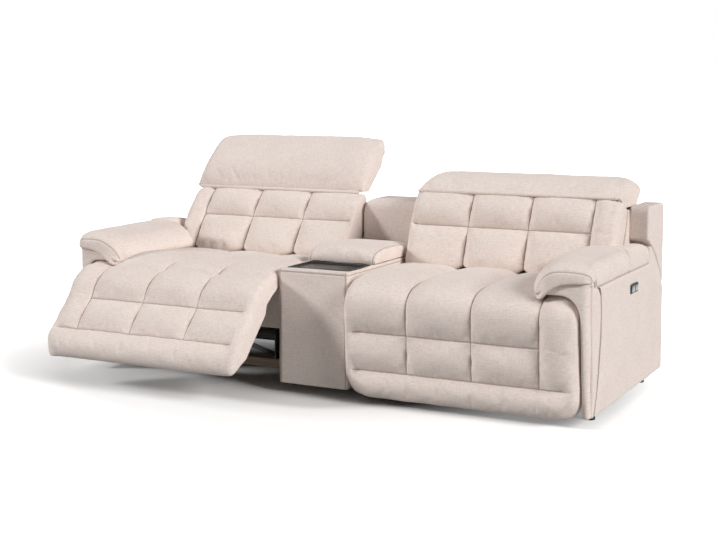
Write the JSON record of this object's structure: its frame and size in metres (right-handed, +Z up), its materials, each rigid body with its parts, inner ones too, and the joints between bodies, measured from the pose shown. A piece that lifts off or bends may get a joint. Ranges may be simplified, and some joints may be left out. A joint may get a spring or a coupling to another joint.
{
  "type": "two seat power reclining sofa with centre console",
  "caption": "Upholstered sofa with two tufted power reclining seats, fold-out footrests, tilting headrests and a fixed centre console with tray and lift-up padded lid.",
  "frame": {"origin": "on the floor, in the middle of the underside of the console's foot, which is the middle of the width and of the arms' depth", "axes": "+X to the right as seen from the front, -Y to the front, +Z up"},
  "size_m": [2.162, 1.3508, 0.9191],
  "materials": {
    "woven": "matt woven cream melange upholstery",
    "timber": "raw plywood and beech rails",
    "steel": "dark painted steel",
    "gloss_black": "polished black moulding",
    "black_plastic": "satin black moulding",
    "chrome": "bright plated",
    "grey_plastic": "dark grey moulding"
  },
  "bodies": {
    "sofa_frame": {"console_body": "woven", "console_foot": "black_plastic", "console_tray": "gloss_black", "console_bin_liner": "black_plastic", "console_lid_hinge": "steel", "console_back_panel": "woven", "left_base_frame": "timber", "left_mechanism_frame": "steel", "left_drive_motor": "grey_plastic", "left_recline_motor": "grey_plastic", "left_seat_deck": "timber", "left_seat_fascia": "woven", "left_seat_cushion": "woven", "left_arm_side_panel": "woven", "left_arm_front_panel": "woven", "left_arm_board": "timber", "left_arm_pad": "woven", "left_switch_bezel": "black_plastic", "right_base_frame": "timber", "right_mechanism_frame": "steel", "right_drive_motor": "grey_plastic", "right_recline_motor": "grey_plastic", "right_seat_deck": "timber", "right_seat_fascia": "woven", "right_seat_cushion": "woven", "right_arm_side_panel": "woven", "right_arm_front_panel": "woven", "right_arm_board": "timber", "right_arm_pad": "woven", "right_switch_bezel": "black_plastic"},
    "console_lid": {"console_lid_board": "timber", "console_lid_pad": "woven"},
    "left_footrest": {"left_footrest_board": "timber", "left_footrest_bracket": "steel", "left_footrest_cushion": "woven"},
    "left_crank": {"left_drive_crank": "steel"},
    "left_pushrod_inner": {"left_pushrod_inner": "steel"},
    "left_pushrod_outer": {"left_pushrod_outer": "steel"},
    "left_back": {"left_back_frame": "timber", "left_back_cushion": "woven", "left_back_shell": "woven", "left_back_wing": "woven"},
    "left_headrest": {"left_headrest_board": "timber", "left_headrest_cushion": "woven"},
    "left_front_button": {"left_switch_button_front": "chrome"},
    "left_rear_button": {"left_switch_button_rear": "chrome"},
    "right_footrest": {"right_footrest_board": "timber", "right_footrest_bracket": "steel", "right_footrest_cushion": "woven"},
    "right_crank": {"right_drive_crank": "steel"},
    "right_pushrod_inner": {"right_pushrod_inner": "steel"},
    "right_pushrod_outer": {"right_pushrod_outer": "steel"},
    "right_back": {"right_back_frame": "timber", "right_back_cushion": "woven", "right_back_shell": "woven", "right_back_wing": "woven"},
    "right_headrest": {"right_headrest_board": "timber", "right_headrest_cushion": "woven"},
    "right_front_button": {"right_switch_button_front": "chrome"},
    "right_rear_button": {"right_switch_button_rear": "chrome"}
  },
  "joints": [
    {"name": "console_lid_hinge", "type": "hinge", "parent": "sofa_frame", "child": "console_lid", "pos_m": [0, 0.2135, 0.4819], "axis": [-1, 0, 0], "range_deg": [0, 78]},
    {"name": "left_footrest_hinge", "type": "hinge", "parent": "sofa_frame", "child": "left_footrest", "pos_m": [-0.5955, -0.502, 0.451], "axis": [-1, 0, 0], "range_deg": [-45, 40]},
    {"name": "left_crank_turn", "type": "hinge", "parent": "sofa_frame", "child": "left_crank", "pos_m": [-0.5955, -0.192, 0.3], "axis": [-1, 0, 0], "range_deg": [-49, 43.5]},
    {"name": "left_pushrod_inner_turn", "type": "hinge", "parent": "left_footrest", "child": "left_pushrod_inner", "pos_m": [-0.5955, -0.60382, 0.21624], "axis": [-1, 0, 0], "range_deg": [-39.6, 44.6]},
    {"name": "left_pushrod_outer_turn", "type": "hinge", "parent": "left_footrest", "child": "left_pushrod_outer", "pos_m": [-0.5955, -0.60382, 0.21624], "axis": [-1, 0, 0], "range_deg": [-39.6, 44.6]},
    {"name": "left_back_recline", "type": "hinge", "parent": "sofa_frame", "child": "left_back", "pos_m": [-0.5955, 0.04, 0.12], "axis": [-1, 0, 0], "range_deg": [-12.6, 17.4]},
    {"name": "left_headrest_tilt", "type": "hinge", "parent": "left_back", "child": "left_headrest", "pos_m": [-0.5955, 0.25354, 0.70859], "axis": [-1, 0, 0], "range_deg": [0, 52]},
    {"name": "left_front_button_press", "type": "slide", "parent": "sofa_frame", "child": "left_front_button", "axis": [1, 0, 0], "range_m": [0, 0.0012], "stiffness_N_per_m": 600, "springref_m": -0.001},
    {"name": "left_rear_button_press", "type": "slide", "parent": "sofa_frame", "child": "left_rear_button", "axis": [1, 0, 0], "range_m": [0, 0.0012], "stiffness_N_per_m": 600, "springref_m": -0.001},
    {"name": "right_footrest_hinge", "type": "hinge", "parent": "sofa_frame", "child": "right_footrest", "pos_m": [0.5955, -0.502, 0.451], "axis": [-1, 0, 0], "range_deg": [0, 85]},
    {"name": "right_crank_turn", "type": "hinge", "parent": "sofa_frame", "child": "right_crank", "pos_m": [0.5955, -0.192, 0.3], "axis": [-1, 0, 0], "range_deg": [0, 92.4]},
    {"name": "right_pushrod_inner_turn", "type": "hinge", "parent": "right_footrest", "child": "right_pushrod_inner", "pos_m": [0.5955, -0.408, 0.213], "axis": [-1, 0, 0], "range_deg": [-84.2, 0]},
    {"name": "right_pushrod_outer_turn", "type": "hinge", "parent": "right_footrest", "child": "right_pushrod_outer", "pos_m": [0.5955, -0.408, 0.213], "axis": [-1, 0, 0], "range_deg": [-84.2, 0]},
    {"name": "right_back_recline", "type": "hinge", "parent": "sofa_frame", "child": "right_back", "pos_m": [0.5955, 0.04, 0.12], "axis": [-1, 0, 0], "range_deg": [0, 30]},
    {"name": "right_headrest_tilt", "type": "hinge", "parent": "right_back", "child": "right_headrest", "pos_m": [0.5955, 0.12, 0.741], "axis": [-1, 0, 0], "range_deg": [-52, 0]},
    {"name": "right_front_button_press", "type": "slide", "parent": "sofa_frame", "child": "right_front_button", "axis": [-1, 0, 0], "range_m": [0, 0.0012], "stiffness_N_per_m": 600, "springref_m": -0.001},
    {"name": "right_rear_button_press", "type": "slide", "parent": "sofa_frame", "child": "right_rear_button", "axis": [-1, 0, 0], "range_m": [0, 0.0012], "stiffness_N_per_m": 600, "springref_m": -0.001}
  ],
  "couplings": [
    {"joint": "left_crank_turn", "follows": "left_footrest_hinge", "ratio": 1.0867},
    {"joint": "left_pushrod_inner_turn", "follows": "left_footrest_hinge", "ratio": -0.99},
    {"joint": "left_pushrod_outer_turn", "follows": "left_footrest_hinge", "ratio": -0.99},
    {"joint": "right_crank_turn", "follows": "right_footrest_hinge", "ratio": 1.0867},
    {"joint": "right_pushrod_inner_turn", "follows": "right_footrest_hinge", "ratio": -0.99},
    {"joint": "right_pushrod_outer_turn", "follows": "right_footrest_hinge", "ratio": -0.99}
  ]
}
